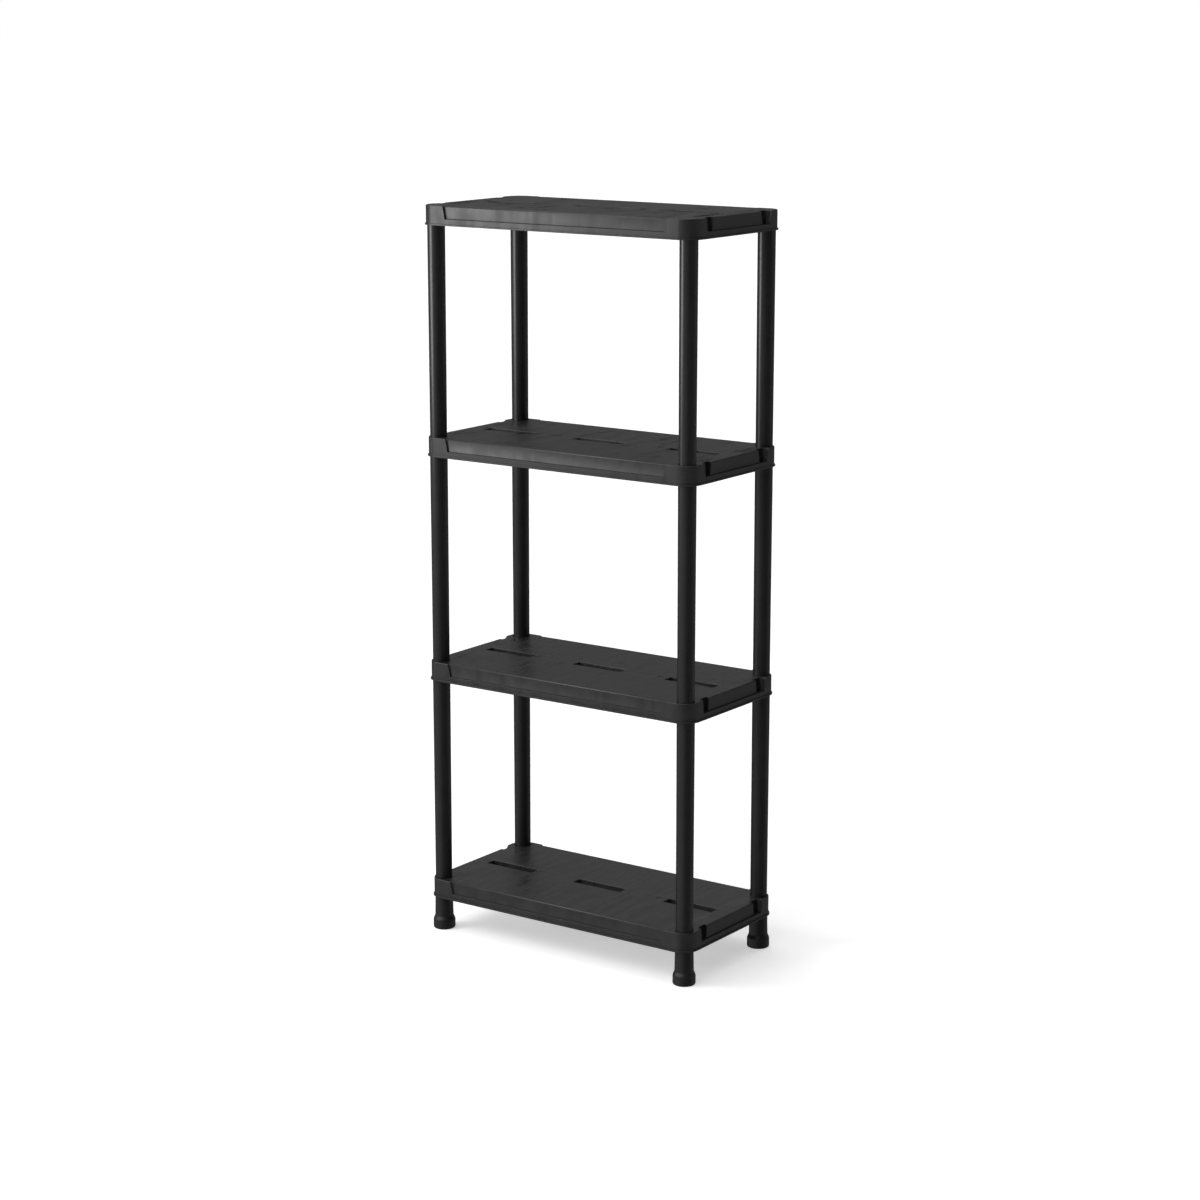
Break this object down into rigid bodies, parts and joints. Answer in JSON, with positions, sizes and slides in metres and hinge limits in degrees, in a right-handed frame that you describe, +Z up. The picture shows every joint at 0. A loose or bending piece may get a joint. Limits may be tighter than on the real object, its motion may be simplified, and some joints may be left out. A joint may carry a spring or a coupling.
{
  "type": "push-fit plastic shelving unit",
  "caption": "Free-standing black plastic shelving unit with ribbed, slotted shelves held on push-fit tube posts with flared feet.",
  "frame": {"origin": "on the floor, under the middle of the unit", "axes": "+Z up, along the unit's height; +X along the shelves' length; +Y from the front to the back, the shelves' depth"},
  "size_m": [0.6, 0.3, 1.38],
  "materials": {
    "shelf_plastic": "satin moulded polypropylene with a fine grain",
    "post_plastic": "smooth satin polypropylene tube",
    "foot_plastic": "satin moulded polypropylene",
    "cap_plastic": "satin moulded polypropylene"
  },
  "bodies": {
    "root": {"bottom_shelf": "shelf_plastic", "second_shelf": "shelf_plastic", "third_shelf": "shelf_plastic", "top_shelf": "shelf_plastic", "lower_post_front_left": "post_plastic", "lower_post_front_right": "post_plastic", "lower_post_back_left": "post_plastic", "lower_post_back_right": "post_plastic", "middle_post_front_left": "post_plastic", "middle_post_front_right": "post_plastic", "middle_post_back_left": "post_plastic", "middle_post_back_right": "post_plastic", "upper_post_front_left": "post_plastic", "upper_post_front_right": "post_plastic", "upper_post_back_left": "post_plastic", "upper_post_back_right": "post_plastic", "foot_front_left": "foot_plastic", "foot_front_right": "foot_plastic", "foot_back_left": "foot_plastic", "foot_back_right": "foot_plastic", "cap_front_left": "cap_plastic", "cap_front_right": "cap_plastic", "cap_back_left": "cap_plastic", "cap_back_right": "cap_plastic"}
  },
  "joints": []
}
